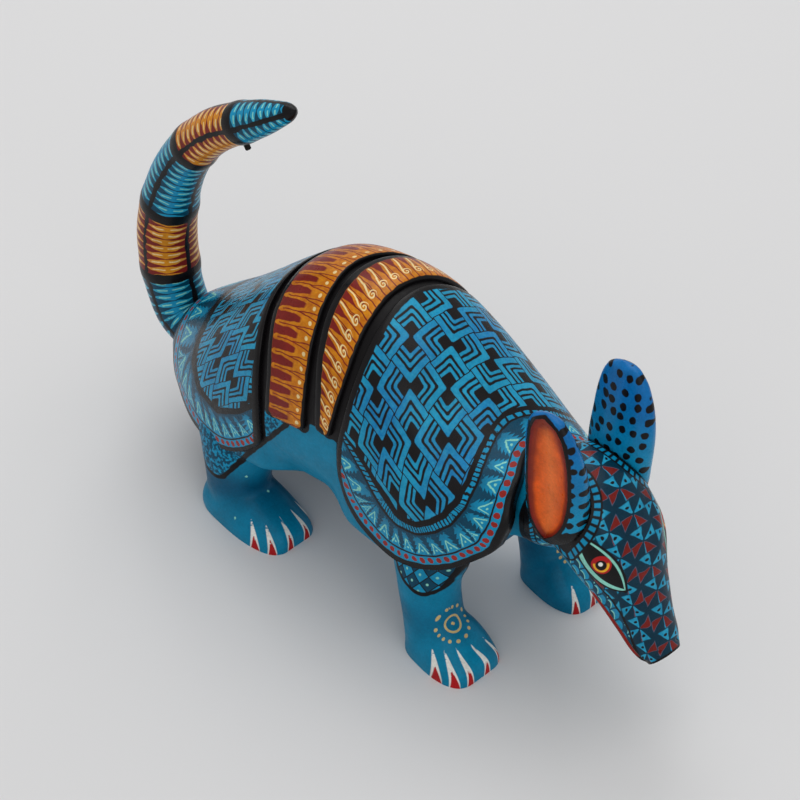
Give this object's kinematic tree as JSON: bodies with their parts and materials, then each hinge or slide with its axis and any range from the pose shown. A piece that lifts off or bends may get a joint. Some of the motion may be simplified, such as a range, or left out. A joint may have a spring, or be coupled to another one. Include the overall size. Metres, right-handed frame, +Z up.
{
  "type": "carved armadillo figure",
  "caption": "Painted wooden armadillo folk figure standing on flat soles, with a banded shell carved in relief and push-fit ears and tail.",
  "frame": {"origin": "on the ground under the middle of the figure's own box", "axes": "+X from tail to nose, +Y to the figure's left, +Z up"},
  "size_m": [0.2142, 0.0664, 0.1386],
  "materials": {
    "painted_body": "turquoise, black, ochre and red acrylic brushwork under satin varnish",
    "painted_head": "teal and dark red triangle brushwork under satin varnish",
    "painted_ear": "blue with black dots outside, orange inside, satin varnish",
    "painted_tail": "cyan and ochre rings split by black, satin varnish",
    "bare_wood": "bare turned wood",
    "black_paint": "black paint on a thin wooden pin"
  },
  "bodies": {
    "figure": {"body": "painted_body", "head": "painted_head", "neck_dowel": "bare_wood"},
    "tail": {"tail": "painted_tail", "tail_peg": "bare_wood", "tail_pin": "black_paint"},
    "ear_right": {"ear_right": "painted_ear", "ear_right_peg": "bare_wood"},
    "ear_left": {"ear_left": "painted_ear", "ear_left_peg": "bare_wood"}
  },
  "joints": [
    {"name": "tail_pull", "type": "slide", "parent": "figure", "child": "tail", "axis": [-0.9703, 0, 0.2419], "range_m": [0, 0.018]},
    {"name": "ear_right_pull", "type": "slide", "parent": "figure", "child": "ear_right", "axis": [0, -0.8829, 0.4695], "range_m": [0, 0.009]},
    {"name": "ear_left_pull", "type": "slide", "parent": "figure", "child": "ear_left", "axis": [0, 0.8829, 0.4695], "range_m": [0, 0.009]}
  ]
}
